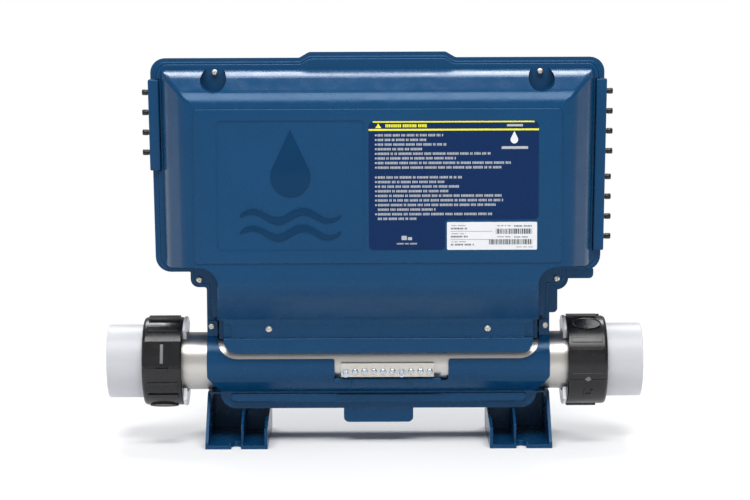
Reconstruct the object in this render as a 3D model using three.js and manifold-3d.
// A spa heater control pack: a blue moulded electronics housing that stands on two feet, with a
// stainless heater tube across its lower front and a split-nut union on each end of the tube.
//
// Units are millimetres. +X is to the right, +Y to the back, +Z up. The origin is under the middle
// of the whole pack, on the surface that the feet stand on.

import * as THREE from "three";
import { mergeVertices } from "three/addons/utils/BufferGeometryUtils.js";
import Module from "manifold-3d";

const wasm = await Module();
wasm.setup();

// ---------------------------------------------------------------- driving dimensions

const GAP = 0.3; // clearance left between two pieces that touch
const WALL = 3; // housing wall
const SHELL = 2.6; // front cover and shroud wall

const BACK_Y = 64.4; // flat back of the housing
const RIM_Y = -13.4; // front face of the housing's rim
const RIM_THICK = 4;
const FLANGE_Y = -16; // front face of the cover's flange
const FACE_Y = -63.4; // front face of the cover
const PANEL_Y = -64; // raised field on that face
const LABEL_Y = -64.4; // front of the labels

const BODY_X = 3.5; // the housing's middle plane, to the right of the heater's middle
const TUBE = { y: 1.6, z: 79.3, outer: 28.2, inner: 26.7, end: 195, flange: 38.4, flangeThick: 3 };
const TAIL = { end: 260.8, socket: 35.9, bore: 30.2, waist: 26, thread: 39.7, shoulder: 221, face: 198.8 };
const NUT = { inner: 187.3, outer: 226, body: 43.2, rib: 46, bore: 40.2, lip: 29.2 };

const FOOT = { outer: 168.1, inner: 107.8, front: -46.4, plate: 3.5, lowWall: 20, notch: 138.3 };
const TRAY_FLOOR = 34.3; // underside of the housing
const PARTITION = { low: 109.2, high: 113.2 }; // shelf between the heater and the electronics

const TOP_SCREW = [156.7, 363.5];
const EAR_SCREW = [173.8, 162.2];
const LOW_SCREW = [106, 116];
const SHROUD_SCREW = [162.6, 116.2];

const BAR = { left: -36.3, right: 53.8, low: 68.7, high: 82, back: -27.1, front: -34.6 };
const BAR_PITCH = 9.05;
const BAR_FIRST = -31.7;
const BAR_MOUNTS = [0, 6]; // places on the bar taken by its own fixing screws
const BAR_PLACES = 10;

const SIDE_SLOPE = 0.0154; // the housing's sides draw in by this much per millimetre downwards
const PLUG = { radius: 2.9, y: -7, tip: 228.2, pitch: 19.4 };

// ---------------------------------------------------------------- solids

// A closed three.js geometry as a solid that can be joined and cut.
function solid(geometry) {
  const loose = geometry.index ? geometry.toNonIndexed() : geometry;
  const bare = new THREE.BufferGeometry().setAttribute("position", loose.getAttribute("position"));
  const merged = mergeVertices(bare, 1e-4);
  const corners = new Uint32Array(merged.index.array);
  const vertProperties = merged.attributes.position.array;
  const made = new wasm.Manifold(new wasm.Mesh({ numProp: 3, vertProperties, triVerts: corners }));
  if (made.volume() > 0) return made;
  for (let i = 0; i < corners.length; i += 3) {
    [corners[i + 1], corners[i + 2]] = [corners[i + 2], corners[i + 1]];
  }
  return new wasm.Manifold(new wasm.Mesh({ numProp: 3, vertProperties, triVerts: corners }));
}

const join = (...pieces) => pieces.reduce((a, b) => a.add(b));
const cut = (from, ...tools) => tools.reduce((a, b) => a.subtract(b), from);
const common = (...pieces) => pieces.reduce((a, b) => a.intersect(b));

function geometryOf(piece) {
  const mesh = piece.getMesh();
  const geometry = new THREE.BufferGeometry();
  geometry.setAttribute("position", new THREE.BufferAttribute(mesh.vertProperties, mesh.numProp));
  geometry.setIndex(new THREE.BufferAttribute(mesh.triVerts, 1));
  const flat = geometry.toNonIndexed();
  flat.computeVertexNormals();
  return flat;
}

// A box between two corners.
function box(x0, x1, y0, y1, z0, z1) {
  const geometry = new THREE.BoxGeometry(x1 - x0, y1 - y0, z1 - z0);
  return solid(geometry.translate((x0 + x1) / 2, (y0 + y1) / 2, (z0 + z1) / 2));
}

// A closed outline through [x, z, radius] corners in anticlockwise order, moved inwards by inset.
// A wide corner has more steps than a tight one.
function outline(corners, inset = 0) {
  const count = corners.length;
  const edges = corners.map(([x, z], i) => {
    const [nextX, nextZ] = corners[(i + 1) % count];
    const along = new THREE.Vector2(nextX - x, nextZ - z).normalize();
    const inward = new THREE.Vector2(-along.y, along.x);
    return { start: new THREE.Vector2(x, z).addScaledVector(inward, inset), along };
  });
  return corners.flatMap(([, , radius], i) => {
    const before = edges[(i + count - 1) % count];
    const after = edges[i];
    const turn = before.along.cross(after.along);
    const between = after.start.clone().sub(before.start);
    const reach = between.cross(after.along) / turn;
    const corner = before.start.clone().addScaledVector(before.along, reach);
    if (!radius) return [corner];
    const side = Math.sign(turn);
    const r = Math.max(0.4, radius - inset * side);
    const angle = Math.acos(THREE.MathUtils.clamp(before.along.dot(after.along), -1, 1));
    const first = corner.clone().addScaledVector(before.along, -r * Math.tan(angle / 2));
    const normal = new THREE.Vector2(-before.along.y, before.along.x).multiplyScalar(side);
    const centre = first.clone().addScaledVector(normal, r);
    const steps = Math.max(1, Math.round((angle * Math.sqrt(radius)) / 0.9));
    return Array.from({ length: steps + 1 }, (_, k) =>
      first.clone().rotateAround(centre, (side * angle * k) / steps));
  });
}

// The right half of an outline, from the bottom up, and its mirror image.
function mirrored(half) {
  return [...half, ...half.map(([x, z, r]) => [-x, z, r]).reverse()];
}

// An outline in the XZ plane as a solid from yFront back to yBack.
function prism(points, yFront, yBack) {
  const geometry = new THREE.ExtrudeGeometry(new THREE.Shape(points), {
    depth: yBack - yFront,
    bevelEnabled: false,
  });
  return solid(geometry.rotateX(Math.PI / 2).translate(0, yBack, 0));
}

// An outline in the YZ plane, given as [y, z], as a solid from x0 to x1.
function slab(points, x0, x1) {
  const shape = new THREE.Shape(points.map(([y, z]) => new THREE.Vector2(y, z)));
  const geometry = new THREE.ExtrudeGeometry(shape, { depth: x1 - x0, bevelEnabled: false });
  return solid(geometry.rotateY(Math.PI / 2).rotateX(Math.PI / 2).translate(x0, 0, 0));
}

// A stack of equal-sized rings in the XZ plane, [{ points, y }] from front to back.
function loft(rings) {
  const count = rings[0].points.length;
  const positions = rings.flatMap(({ points, y }) => points.flatMap((p) => [p.x, y, p.y]));
  const caps = THREE.ShapeUtils.triangulateShape(rings[0].points, []);
  const last = (rings.length - 1) * count;
  const index = [
    ...caps.flatMap(([a, b, c]) => [a, b, c]),
    ...caps.flatMap(([a, b, c]) => [last + a, last + c, last + b]),
  ];
  for (let ring = 0; ring < rings.length - 1; ring++) {
    for (let i = 0; i < count; i++) {
      const a = ring * count + i;
      const b = ring * count + ((i + 1) % count);
      index.push(a, a + count, b, b, a + count, b + count);
    }
  }
  const geometry = new THREE.BufferGeometry();
  geometry.setAttribute("position", new THREE.Float32BufferAttribute(positions, 3));
  geometry.setIndex(index);
  return solid(geometry);
}

// A profile of [radius, height] turned about an axis: "x", "-y" (towards the front) or "z".
function turned(profile, axis, segments = 16) {
  const points = profile.map(([r, h]) => new THREE.Vector2(r, h));
  if (profile[0][0] > 0) points.push(points[0].clone());
  const geometry = new THREE.LatheGeometry(points, segments);
  if (axis === "x") geometry.rotateZ(-Math.PI / 2);
  if (axis === "-y") geometry.rotateX(Math.PI);
  if (axis === "z") geometry.rotateX(Math.PI / 2);
  return solid(geometry);
}

// A plain round bar between two heights on that axis.
function bar(radius, from, to, axis, segments = 16) {
  return turned([[0, from], [radius, from], [radius, to], [0, to]], axis, segments);
}

// A plain ring or pipe.
function pipe(outer, inner, from, to, axis, segments = 24) {
  return turned([[inner, from], [outer, from], [outer, to], [inner, to]], axis, segments);
}

// A round bar from yFront back to yBack, at a place on the front.
function pin(radius, x, z, yFront, yBack, segments = 12) {
  return bar(radius, -yBack, -yFront, "-y", segments).translate([x, 0, z]);
}

// A round wire or rod along a curve.
function rod(curve, radius, steps, sides = 8) {
  const section = new THREE.Shape(
    Array.from({ length: sides }, (_, i) => {
      const a = (2 * Math.PI * i) / sides;
      return new THREE.Vector2(radius * Math.cos(a), radius * Math.sin(a));
    }),
  );
  return solid(new THREE.ExtrudeGeometry(section, { steps, extrudePath: curve }));
}

const bothSides = (make) => [-1, 1].map(make);

// ---------------------------------------------------------------- materials

function plastic(color, roughness) {
  return new THREE.MeshStandardMaterial({ color, roughness, metalness: 0 });
}

function metal(color, roughness) {
  return new THREE.MeshStandardMaterial({ color, roughness, metalness: 1 });
}

const BLUE = plastic(0x163c63, 0.38);
const BLACK = plastic(0x25262a, 0.45);
const WHITE = plastic(0xd9dce3, 0.4);
const CLEAR_RING = plastic(0xe8eaee, 0.3);
const RUBBER = plastic(0x2b2c2e, 0.75);
const PANEL_INK = plastic(0x12284f, 0.5);
const PAPER = plastic(0xc8ccd2, 0.6);
const BOARD = plastic(0x1d5a3a, 0.55);
const RELAY = plastic(0x1c1d22, 0.5);
const TERMINAL = plastic(0x2f8050, 0.5);
const LEAD = plastic(0xa02020, 0.5);
const STAINLESS = metal(0xc8c4bc, 0.28);
const ZINC = metal(0xc9d3da, 0.3);
const TINNED = metal(0xd6d2c8, 0.35);
const SHEATH = metal(0x8a8378, 0.5);
const BRASS = metal(0xb8923f, 0.35);
const CORE = metal(0x55585c, 0.5);

const pack = new THREE.Group();
const housing = new THREE.Group();
housing.position.x = BODY_X;
pack.add(housing);

// Puts a named sub-part into a group.
function add(group, name, piece, material) {
  const mesh = new THREE.Mesh(geometryOf(piece), material);
  mesh.name = name;
  group.add(mesh);
  return mesh;
}

// ---------------------------------------------------------------- outlines of the front

const RIM = mirrored([
  [154.5, TRAY_FLOOR, 15], [154.5, 49, 1], [167.2, 49, 2], [167.2, 154.3, 2], [182.8, 154.3, 8],
  [182.8, 169.6, 1], [216.3, 169.6, 15], [219.5, 377.2, 14], [75.5, 377.2, 3], [66, 382.7, 3],
]);

// The wall that closes off the electronics, inside the rim. Its front edge carries the gasket.
const SEAL = mirrored([
  [164.2, 106, 8], [164.2, 169.6, 2], [216.3, 169.6, 15], [219.5, 377.2, 14], [75.5, 377.2, 3],
  [66, 382.7, 3],
]);

const FLANGE = mirrored([
  [152, 90.5, 14.5], [152, 122.5, 1], [165.8, 122.5, 4], [165.8, 155.6, 2], [181.6, 155.6, 7.5],
  [181.6, 171, 1], [213.4, 171, 13], [216.3, 374, 11], [75, 374, 3], [65.5, 379.2, 3],
]);

const COVER_WALL = mirrored([
  [152, 90.5, 14.5], [152, 122.5, 1], [157.5, 122.5, 4], [157.5, 174.5, 14], [206.4, 174.5, 7],
  [209.8, 367.2, 4],
]);

// Only the top and the two sides of the upper box slope back. This outline runs on downwards.
const SLOPE = mirrored([[205, 20, 0], [209.8, 367.2, 4]]);
const SLOPE_STATIONS = [[0, -13], [1, -27], [3.5, -33], [19, -54.5], [25, -60.5], [31, FACE_Y]];

const WINDOW = { left: -42.7, right: 68.1, sill: 64 };
const SHROUD_HALF = [
  [148, 40.8, 10], [148, 50.5, 1], [153, 50.5, 3], [166.8, 67, 4], [166.8, 121.7, 3],
  [157, 121.7, 2], [157, 85.5, 19.5],
];
const SHROUD = [
  ...SHROUD_HALF,
  [WINDOW.right, 85.5, 2], [WINDOW.right, WINDOW.sill, 3],
  [WINDOW.left, WINDOW.sill, 3], [WINDOW.left, 85.5, 2],
  ...SHROUD_HALF.map(([x, z, r]) => [-x, z, r]).reverse(),
];

const GLANDS = [
  { side: -1, name: "left", low: 269, high: 357, plugs: [["", 344.2]] },
  { side: 1, name: "right", low: 190, high: 356.5, plugs: [["_upper", 344], ["_lower", 260.8]] },
];

// A round bar along the heater's axis, in the housing's own coordinates.
function tubeSpace(radius, from, to, segments = 36) {
  return bar(radius, from, to, "x", segments).translate([0, TUBE.y, TUBE.z]);
}

// ---------------------------------------------------------------- rear housing

function rearHousing() {
  const body = prism(outline(RIM, 4.2), RIM_Y, BACK_Y);
  const rim = prism(outline(RIM), RIM_Y, RIM_Y + RIM_THICK);
  const room = prism(outline(RIM, 7.2), RIM_Y - 1, BACK_Y - WALL);
  const sealWall = cut(
    join(
      prism(outline(SEAL, 3.2), RIM_Y, RIM_Y + RIM_THICK),
      prism(outline(SEAL, 4.2), RIM_Y, BACK_Y - 1),
    ),
    prism(outline(SEAL, 7.2), RIM_Y - 1, BACK_Y),
  );
  const saddles = [-150, -75, 0, 75, 150].map((x) =>
    box(x - 2, x + 2, TUBE.y, BACK_Y - 1, TRAY_FLOOR + 3, PARTITION.low + 1));
  const posts = [TOP_SCREW, EAR_SCREW, LOW_SCREW].flatMap(([x, z]) =>
    bothSides((side) => pin(5.5, side * x, z, RIM_Y, BACK_Y - 1)));
  const standoffs = bothSides((side) => [215, 335].map((z) =>
    pin(4, side * 140, z, 52, BACK_Y - 1, 12))).flat();
  const shell = join(cut(join(body, rim), room), sealWall, ...saddles, ...posts, ...standoffs);

  const earBoss = pin(12, EAR_SCREW[0], EAR_SCREW[1], RIM_Y + RIM_THICK - 1, 22, 24);
  const ledge = prism(outline([
    [184, 161.4, 1], [210.2, 161.4, 4], [210.2, 171, 1], [184, 171, 1],
  ]), RIM_Y + RIM_THICK - 1, 40);
  const sideRib = prism(outline([
    [165, 127.9, 1], [175.2, 127.9, 4], [175.2, 156, 1], [165, 156, 1],
  ]), RIM_Y + RIM_THICK - 1, 40);

  const channel = join(
    tubeSpace(TUBE.outer + 0.4, -180, 180),
    box(-180, 180, -60, TUBE.y, TUBE.z - TUBE.outer - 0.4, PARTITION.low - 1.6),
  );
  const pilots = [TOP_SCREW, EAR_SCREW, LOW_SCREW].flatMap(([x, z]) =>
    bothSides((side) => pin(1.9, side * x, z, RIM_Y - 1, 12, 10)));
  const shroudPilots = bothSides((side) =>
    pin(1.9, side * SHROUD_SCREW[0], SHROUD_SCREW[1], RIM_Y - 1, 2, 10));
  const shroudPosts = bothSides((side) =>
    pin(4, side * SHROUD_SCREW[0], SHROUD_SCREW[1], RIM_Y, 4));
  const keptWall = prism(outline(RIM, 4.2), RIM_Y, BACK_Y);
  const stripNotches = GLANDS.map((gland) =>
    cut(stripNotch(gland, RIM_Y - 1, RIM_Y + RIM_THICK + 0.4), keptWall));
  const groove = cut(
    prism(outline(SEAL, 3.9), RIM_Y - 1, RIM_Y + 2),
    prism(outline(SEAL, 6.3), RIM_Y - 2, RIM_Y + 3),
  );
  const terminalHoles = [-42, 42, 118].map((x) =>
    bar(7, PARTITION.low - 5, PARTITION.high + 4, "z", 16)
      .translate([x - BODY_X, TUBE.y + 10, 0]));
  return cut(
    join(shell, earBoss, ledge, sideRib, ...shroudPosts),
    channel, groove, ...pilots, ...shroudPilots, ...stripNotches, ...terminalHoles,
  );
}

// ---------------------------------------------------------------- front cover

// The cover's outer form, or with a depth the room inside it.
function coverForm(depth) {
  const walls = loft([
    { points: outline(COVER_WALL, 5 + depth), y: FACE_Y - 1 },
    { points: outline(COVER_WALL, depth), y: -13 },
  ]);
  const slopes = loft(SLOPE_STATIONS.map(([inset, y]) => ({
    points: outline(SLOPE, inset + depth), y: y + depth,
  })).reverse());
  const foot = 90.5 + (depth ? -20 : 0);
  const profile = slab([
    [-13 + depth, 400], [-13 + depth, foot], [-36 + depth, foot], [-37.4 + depth, foot + 1.6],
    [-37.4 + depth, 107.5], [-34.4 + depth, 107.5], [-34.4 + depth, 123.7],
    [-59.2 + depth, 151.4], [-62.2 + depth, 155.6], [FACE_Y + depth, 160.5],
    [FACE_Y + depth, 400],
  ], -230, 230);
  return common(walls, slopes, profile);
}

function cornerPocket(side) {
  const points = outline([
    [142, 107.6, 0], [160, 107.6, 0], [160, 121.5, 1], [142, 121.5, 6],
  ]);
  const pocket = prism(points, -60, -22);
  return side > 0 ? pocket : pocket.mirror([1, 0, 0]);
}

function frontCover() {
  const screwPlaces = bothSides((side) => [side * TOP_SCREW[0], TOP_SCREW[1] - 5.9]);
  const wells = screwPlaces.map(([x, z]) => pin(15.2, x, z, FACE_Y, -13, 24));
  const outer = coverForm(0);
  const lowBosses = bothSides((side) =>
    pin(5, side * LOW_SCREW[0], LOW_SCREW[1], -34, RIM_Y - GAP));
  const seal = box(-149, 149, -36, RIM_Y - GAP, PARTITION.low + 0.2, PARTITION.high - 0.2);
  const panel = prism(outline([
    [-175, 183.2, 4], [175, 183.2, 4], [175, 330.6, 4], [-175, 330.6, 4],
  ]), PANEL_Y, FACE_Y + 0.5);
  const flange = prism(outline(FLANGE), FLANGE_Y, RIM_Y - GAP);
  const room = cut(coverForm(SHELL), ...wells);
  const throat = cut(prism(outline(COVER_WALL, SHELL), -20, -10), ...wells);
  const shell = cut(join(outer, flange), room, throat, box(-230, 230, RIM_Y - GAP, 0, 50, 400));
  const pockets = screwPlaces.map(([x, z]) => pin(12.5, x, z, -80, FLANGE_Y, 24));
  const topBosses = bothSides((side) =>
    pin(5.6, side * TOP_SCREW[0], TOP_SCREW[1], FLANGE_Y - 2, FLANGE_Y + 1));
  const strips = GLANDS.map((gland) => stripNotch(gland, -30, 0));
  const holes = [...bothSides((side) => pin(2.3, side * EAR_SCREW[0], EAR_SCREW[1], -30, 0, 12)),
    ...bothSides((side) => pin(2.3, side * TOP_SCREW[0], TOP_SCREW[1], -30, 0, 12)),
    ...bothSides((side) => pin(2.3, side * LOW_SCREW[0], LOW_SCREW[1], -60, 0, 12))];
  const inner = common(join(...lowBosses, seal), coverForm(0.5));
  return cut(
    join(cut(join(shell, inner), ...pockets), panel, ...topBosses),
    ...strips, ...holes, ...bothSides(cornerPocket),
    tubeSpace(TUBE.outer + 1.6, -230, 230, 36),
    box(-230, 230, -28.6, 20, 60, 100),
  );
}

function coverGasket() {
  return cut(
    prism(outline(SEAL, 4.2), RIM_Y, RIM_Y + 1.7),
    prism(outline(SEAL, 6), RIM_Y - 1, RIM_Y + 3),
  );
}

// ---------------------------------------------------------------- heater shroud

function heaterShroud() {
  const radius = 33;
  const inFront = box(-170, 170, -40, RIM_Y - GAP, 40, 106.5);
  const sleeve = cut(tubeSpace(radius, -167, 167), tubeSpace(radius - SHELL, -180, 180));
  const collars = bothSides((side) =>
    tubeSpace(radius, Math.min(side * 163.8, side * 166.8), Math.max(side * 163.8, side * 166.8)));
  const ears = box(-170, 170, FLANGE_Y, RIM_Y - GAP, 100, 123);
  const skirt = box(-170, 170, FLANGE_Y, RIM_Y - GAP, 40, 54);
  const whole = cut(
    join(common(join(sleeve, ...collars), inFront), ears, skirt),
    tubeSpace(TUBE.outer + 0.8, -180, 180),
  );
  const holes = bothSides((side) =>
    pin(2.3, side * SHROUD_SCREW[0], SHROUD_SCREW[1], -30, 0, 12));
  return cut(common(whole, prism(outline(SHROUD), -60, 0)), ...holes);
}

// ---------------------------------------------------------------- feet and front tab

function foot(side) {
  const { outer, inner, front, plate, lowWall, notch } = FOOT;
  const back = BACK_Y - 1;
  const base = prism([
    new THREE.Vector2(-outer, 0), new THREE.Vector2(-inner, 0),
    new THREE.Vector2(-inner, plate), new THREE.Vector2(-outer, plate),
  ], front, back);
  const under = TRAY_FLOOR - GAP;
  const outerWall = slab([
    [front, 0], [back, 0], [back, 49 - GAP], [-4, 49 - GAP], [front, 6],
  ], -outer, -outer + WALL);
  const midRib = slab([
    [-36, 1], [36, 1], [36, under], [-12.5, under], [-36, 22],
  ], -133.9, -131.4);
  const innerWall = slab([
    [front, 0], [back, 0], [back, under], [front, lowWall],
  ], -inner - WALL, -inner);
  const backLeft = join(
    box(-outer + 1, -154.8, 51.6, 54.6, 1, 49 - GAP),
    box(-156, -132, 51.6, 54.6, 1, under),
  );
  const backRight = box(-132, -inner - 1, 35.6, 38.6, 1, under);
  const notchShape = (radius, from, to) => join(
    box(-notch - radius, -notch + radius, front - (from < 0 ? 5 : 0), front + 8, from, to),
    bar(radius, from, to, "z", 16).translate([-notch, front + 8, 0]),
  );
  const collar = notchShape(6.8, 1, plate + 2);
  const slot = notchShape(4.8, -1, plate + 5);
  const whole = join(base, outerWall, midRib, innerWall, backLeft, backRight, collar);
  const made = cut(whole, slot);
  return side < 0 ? made : made.mirror([1, 0, 0]);
}

function frontTab() {
  const plate = prism(outline([
    [-34, 20.2, 5], [34, 20.2, 5], [34, TRAY_FLOOR - GAP, 0], [-34, TRAY_FLOOR - GAP, 0],
  ]), RIM_Y + 0.5, RIM_Y + 3.5);
  const webs = [-32.5, 0, 32.5].map((x) =>
    slab([[RIM_Y + 3, 22], [RIM_Y + 3, TRAY_FLOOR - GAP], [14, TRAY_FLOOR - GAP]], x - 1.2, x + 1.2));
  return join(plate, ...webs);
}

// ---------------------------------------------------------------- cable gland strips and plugs

// A strip along the side of the housing that holds the rubber plugs of the unused cable entries.
function glandStrip({ side, low, high, plugs }) {
  const section = [[-20, 210.9], [-20, 221.4], [6, 221.4], [6, 215.9], [RIM_Y - GAP, 215.9],
    [RIM_Y - GAP, 210.9]];
  const shape = new THREE.Shape(section.map(([y, x]) => new THREE.Vector2(x, y)));
  const bar3 = new THREE.ExtrudeGeometry(shape, { depth: high - low, bevelEnabled: false });
  const web = plugs.map(([, first]) =>
    box(215, 218.7, PLUG.y - 5.3, PLUG.y + 5.3, first - 3 * PLUG.pitch - 6.3 - low, first + 6.3 - low));
  const holes = plugs.flatMap(([, first]) => [0, 1, 2, 3].map((i) =>
    bar(PLUG.radius + 0.35, 214, 230, "x", 8)
      .translate([0, PLUG.y, first - i * PLUG.pitch - low])));
  const upright = cut(solid(bar3), ...web, ...holes);
  return lean(side > 0 ? upright : upright.mirror([1, 0, 0]), side, low);
}

// One rubber moulding of four ribbed plugs on a web.
function plugStrip({ side, low }, first) {
  const web = box(216.3, 218.4, PLUG.y - 5, PLUG.y + 5, first - 3 * PLUG.pitch - 6 - low, first + 6 - low);
  const r = PLUG.radius;
  const pegs = [0, 1, 2, 3].map((i) =>
    turned([[0, 217], [r, 217], [r, 223.6], [r - 0.5, 224.2], [r - 0.5, 225.2], [r, 225.8],
      [r, PLUG.tip], [0, PLUG.tip]], "x", 8).translate([0, PLUG.y, first - i * PLUG.pitch - low]));
  const upright = join(web, ...pegs);
  return lean(side > 0 ? upright : upright.mirror([1, 0, 0]), side, low);
}

// Lifts a piece to its place on the side of the housing, and makes it follow that side's slope.
function lean(piece, side, low) {
  const topOfSide = 357;
  const slope = side * SIDE_SLOPE;
  const shear = new THREE.Matrix4().set(
    1, 0, slope, slope * (low - topOfSide),
    0, 1, 0, 0,
    0, 0, 1, low,
    0, 0, 0, 1,
  );
  return piece.transform(shear.elements);
}

// The space that a gland strip takes up in the flange and the rim.
function stripNotch({ side, low, high }, yFront, yBack) {
  const upright = box(210.5, 230, yFront, yBack, -0.4, high - low + 0.4);
  return lean(side > 0 ? upright : upright.mirror([1, 0, 0]), side, low);
}

// ---------------------------------------------------------------- heater

function heaterTube() {
  const { outer, inner, end, flange, flangeThick } = TUBE;
  const body = turned([
    [inner, -end], [flange, -end], [flange, -end + flangeThick], [outer, -end + flangeThick],
    [outer, end - flangeThick], [flange, end - flangeThick], [flange, end], [inner, end],
  ], "x", 36).translate([0, TUBE.y, TUBE.z]);
  const holes = [-42, 42, 118].map((x) =>
    bar(5.4, 10, 40, "z", 16).translate([x, TUBE.y + 10, TUBE.z]));
  return cut(body, ...holes);
}

// A hairpin rod: two long runs joined by round bends, with both ends turned up to the terminals.
function heaterElement() {
  const y = TUBE.y + 10;
  const drop = 12;
  const point = (x, z) => new THREE.Vector3(x, y, TUBE.z + z);
  const runs = [
    new THREE.LineCurve3(point(-160, -drop), point(160, -drop)),
    ...bothSides((side) => new THREE.LineCurve3(point(side * 50, drop), point(side * 160, drop))),
    ...bothSides((side) => new THREE.LineCurve3(point(side * 42, 19.5), point(side * 42, 23))),
  ];
  const bends = bothSides((side) => [
    new THREE.CubicBezierCurve3(point(side * 159.5, drop), point(side * 175, drop),
      point(side * 175, -drop), point(side * 159.5, -drop)),
    new THREE.QuadraticBezierCurve3(point(side * 42, 20), point(side * 42, drop),
      point(side * 50.5, drop)),
  ]).flat();
  return join(...runs.map((run) => rod(run, 3.4, 1)), ...bends.map((bend) => rod(bend, 3.4, 6)));
}

function terminalStud(x) {
  const base = TUBE.z + 23.4;
  return turned([
    [0, base], [4.9, base], [4.9, 112], [6.2, 112], [6.2, 115.5], [3.6, 115.5], [3.6, 121],
    [2.2, 121], [2.2, 131], [0, 131],
  ], "z", 12).translate([x, TUBE.y + 10, 0]);
}

function sensorProbe() {
  return turned([
    [0, 97], [2.4, 97], [2.4, 104], [4.9, 104], [4.9, 112], [6.2, 112], [6.2, 117], [3, 117],
    [3, 121], [0, 121],
  ], "z", 12).translate([118, TUBE.y + 10, 0]);
}

// ---------------------------------------------------------------- unions

function splitNut(upper, seamDegrees) {
  const { inner, outer, body, rib, bore, lip } = NUT;
  const ring = turned([
    [lip, inner], [body - 1, inner], [body, inner + 1], [body, outer - 1.2], [body - 1.2, outer],
    [bore, outer], [bore, inner + 4.2], [lip, inner + 4.2],
  ], "x", 36);
  const half = upper ? box(150, 250, -60, 60, GAP / 2, 60) : box(150, 250, -60, 60, -60, -GAP / 2);
  const ribs = [0, 1, 2, 3, 4, 5, 6, 7].map((i) => {
    const angle = 28 + i * 17.7 + (upper ? 0 : 180);
    return box(192.3, 222, body - 1.5, rib, -2.8, 2.8).rotate([angle, 0, 0]);
  });
  const lugs = [0, 180].map((angle) =>
    box(196, 217, body - 1.5, body + 1.4, upper ? GAP / 2 : -7, upper ? 7 : -GAP / 2)
      .rotate([angle, 0, 0]));
  const kept = common(join(ring, ...lugs), half);
  return join(kept, ...ribs).rotate([seamDegrees, 0, 0]);
}

function retainerRing() {
  return pipe(44.6, 29.6, 183.6, 187, "x", 32);
}

function unionSeal() {
  return pipe(37.6, 30.6, TUBE.end + GAP, TAIL.face - GAP, "x", 24);
}

function tailpiece() {
  const { end, socket, bore, waist, thread, shoulder, face } = TAIL;
  return turned([
    [waist, face], [thread, face], [thread, shoulder], [socket, shoulder + 1.5],
    [socket, end - 1], [socket - 1, end], [bore + 0.8, end], [bore, end - 1.5], [bore, 222],
    [waist, 221],
  ], "x", 36);
}

function placeUnion(group, side, name, seamDegrees) {
  const put = (part, piece, material) => {
    const placed = (side > 0 ? piece : piece.mirror([1, 0, 0])).translate([0, TUBE.y, TUBE.z]);
    add(group, `${name}_${part}`, placed, material);
  };
  put("nut_upper_half", splitNut(true, seamDegrees), BLACK);
  put("nut_lower_half", splitNut(false, seamDegrees), BLACK);
  put("retainer_ring", retainerRing(), CLEAR_RING);
  put("union_seal", unionSeal(), RUBBER);
  put("tailpiece", tailpiece(), WHITE);
}

// ---------------------------------------------------------------- bonding bar

function bondingBar() {
  const body = box(BAR.left, BAR.right, BAR.front, BAR.back, BAR.low, BAR.high);
  const holes = Array.from({ length: BAR_PLACES }, (_, i) => {
    const z = BAR_MOUNTS.includes(i) ? 72.4 : 74;
    return pin(BAR_MOUNTS.includes(i) ? 1.9 : 2.1, BAR_FIRST + i * BAR_PITCH, z, -60, -20, 10);
  });
  return cut(body, ...holes);
}

// A round-headed screw whose head sits at headY and whose shank runs back.
function screw(x, z, headY, head, shank, length) {
  return turned([
    [0, -length], [shank, -length], [shank, 0], [head, 0], [head, 1], [head * 0.6, 2.1], [0, 2.3],
  ], "-y", 10).translate([x, headY, z]);
}

function terminalScrew(x) {
  return turned([[0, -5], [1.7, -5], [1.7, 0], [3.2, 0], [3.2, 2], [0, 2]], "-y", 10)
    .translate([x, BAR.front - 0.2, 74]);
}

function barFixing(x) {
  return turned([
    [0, -6.6], [1.5, -6.6], [1.5, 0], [4.2, 0], [4.2, 0.9], [3, 0.9], [3, 2], [2, 2.9], [0, 3.1],
  ], "-y", 12).translate([x, BAR.front - 0.2, 72.4]);
}

// ---------------------------------------------------------------- electronics

function wire(points, radius) {
  const curve = new THREE.CatmullRomCurve3(points.map((p) => new THREE.Vector3(...p)));
  return rod(curve, radius, 12, 6);
}

function placeElectronics(group) {
  const boardY = 50;
  const front = boardY - GAP;
  add(group, "circuit_board", box(-150, 150, boardY, boardY + 1.6, 205, 345), BOARD);
  const coreBlock = box(-132, -74, front - 34, front, 266, 318);
  const winding = box(-124, -82, front - 42, front, 258, 326);
  add(group, "transformer", join(coreBlock, winding), CORE);
  [-52, -14, 24].forEach((x, i) => {
    add(group, `relay_${i + 1}`, box(x, x + 30, front - 26, front, 290, 312), RELAY);
  });
  const block = box(58, 142, front - 20, front, 212, 234);
  const mouths = [0, 1, 2, 3, 4, 5, 6].map((i) =>
    box(61 + i * 11.6, 69 + i * 11.6, front - 22, front - 12, 208, 219));
  add(group, "power_terminal_block", cut(block, ...mouths), TERMINAL);
  const fuse = bar(5.5, 72, 104, "x", 12).translate([0, front - 9, 262]);
  const clips = [74, 97].map((x) => box(x, x + 5, front - 9, front, 256.8, 267.2));
  add(group, "fuse", join(fuse, ...clips), TINNED);
  add(group, "capacitor", pin(10, 118, 300, front - 32, front, 16), RELAY);
}

function placeHeaterLeads(group) {
  const y = TUBE.y + 10;
  const stud = [-42, 42];
  stud.forEach((x, i) => {
    add(group, `heater_lead_${i + 1}`, wire([
      [x, y, 131.4], [x, y, 150], [x * 0.9, y + 12, 180], [x * 0.8, 40, 200], [x * 0.8, 47, 222],
    ], 2), LEAD);
  });
  add(group, "sensor_lead", wire([
    [118, y, 121.4], [118, y, 140], [108, y + 14, 170], [96, 40, 196], [96, 47.5, 204],
  ], 1.6), BLACK);
}

// ---------------------------------------------------------------- assembly

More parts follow.
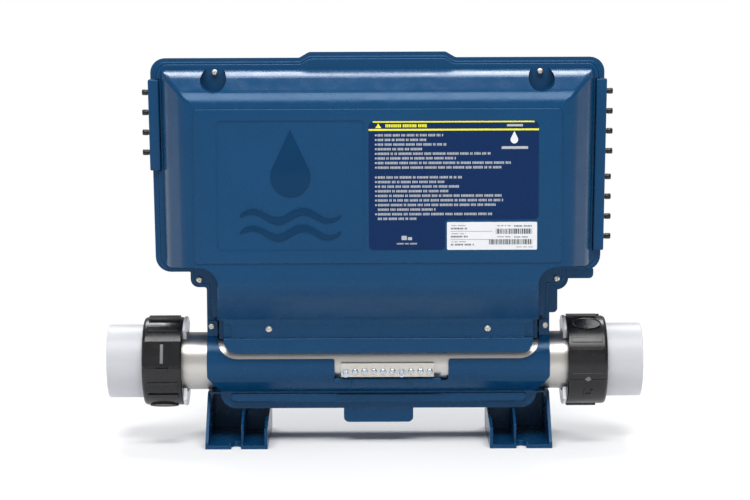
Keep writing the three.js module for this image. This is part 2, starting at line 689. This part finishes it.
add(housing, "rear_housing", rearHousing(), BLUE);
add(housing, "left_foot", foot(-1), BLUE);
add(housing, "right_foot", foot(1), BLUE);
add(housing, "front_tab", frontTab(), BLUE);
add(housing, "front_cover", frontCover(), BLUE);
add(housing, "cover_gasket", coverGasket(), RUBBER);
add(housing, "heater_shroud", heaterShroud(), BLUE);

GLANDS.forEach((gland) => {
  add(housing, `${gland.name}_gland_strip`, glandStrip(gland), BLUE);
  gland.plugs.forEach(([suffix, first]) => {
    add(housing, `${gland.name}_plug_strip${suffix}`, plugStrip(gland, first), RUBBER);
  });
});

const LABEL_BACK = PANEL_Y - 0.1;
const infoLabel = prism(outline([
  [-8.6, 196.1, 4], [61, 196.1, 2], [61, 224.5, 2], [152.7, 224.5, 4], [152.7, 319.1, 4],
  [-8.6, 319.1, 4],
]), LABEL_Y, LABEL_BACK);
add(housing, "info_label", infoLabel, PANEL_INK);
add(housing, "rating_label", box(65.6, 151.3, LABEL_Y, LABEL_BACK, 196, 222.6), PAPER);

bothSides((side) => {
  const hand = side < 0 ? "left" : "right";
  const place = ([x, z], headY, length) => screw(side * x, z, headY, 3.3, 1.5, length);
  add(housing, `cover_screw_top_${hand}`, place(TOP_SCREW, FLANGE_Y - 2.3, 16), ZINC);
  add(housing, `cover_screw_ear_${hand}`, place(EAR_SCREW, FLANGE_Y - 0.3, 14), ZINC);
  add(housing, `cover_screw_low_${hand}`, place(LOW_SCREW, -34.7, 32), ZINC);
  add(housing, `shroud_screw_${hand}`, place(SHROUD_SCREW, FLANGE_Y - 0.3, 12), ZINC);
});

const bonding = new THREE.Group();
housing.add(bonding);
add(bonding, "bonding_bar", bondingBar(), TINNED);
let terminalCount = 0;
let fixingCount = 0;
for (let i = 0; i < BAR_PLACES; i++) {
  const x = BAR_FIRST + i * BAR_PITCH;
  if (BAR_MOUNTS.includes(i)) add(bonding, `bar_fixing_screw_${++fixingCount}`, barFixing(x), ZINC);
  else add(bonding, `terminal_screw_${++terminalCount}`, terminalScrew(x), ZINC);
}

placeElectronics(housing);

const heater = new THREE.Group();
pack.add(heater);
add(heater, "heater_tube", heaterTube(), STAINLESS);
add(heater, "heater_element", heaterElement(), SHEATH);
add(heater, "element_terminal_1", terminalStud(-42), BRASS);
add(heater, "element_terminal_2", terminalStud(42), BRASS);
add(heater, "temperature_probe", sensorProbe(), BRASS);
placeHeaterLeads(heater);
placeUnion(heater, -1, "left", 0);
placeUnion(heater, 1, "right", 18);

export default pack;
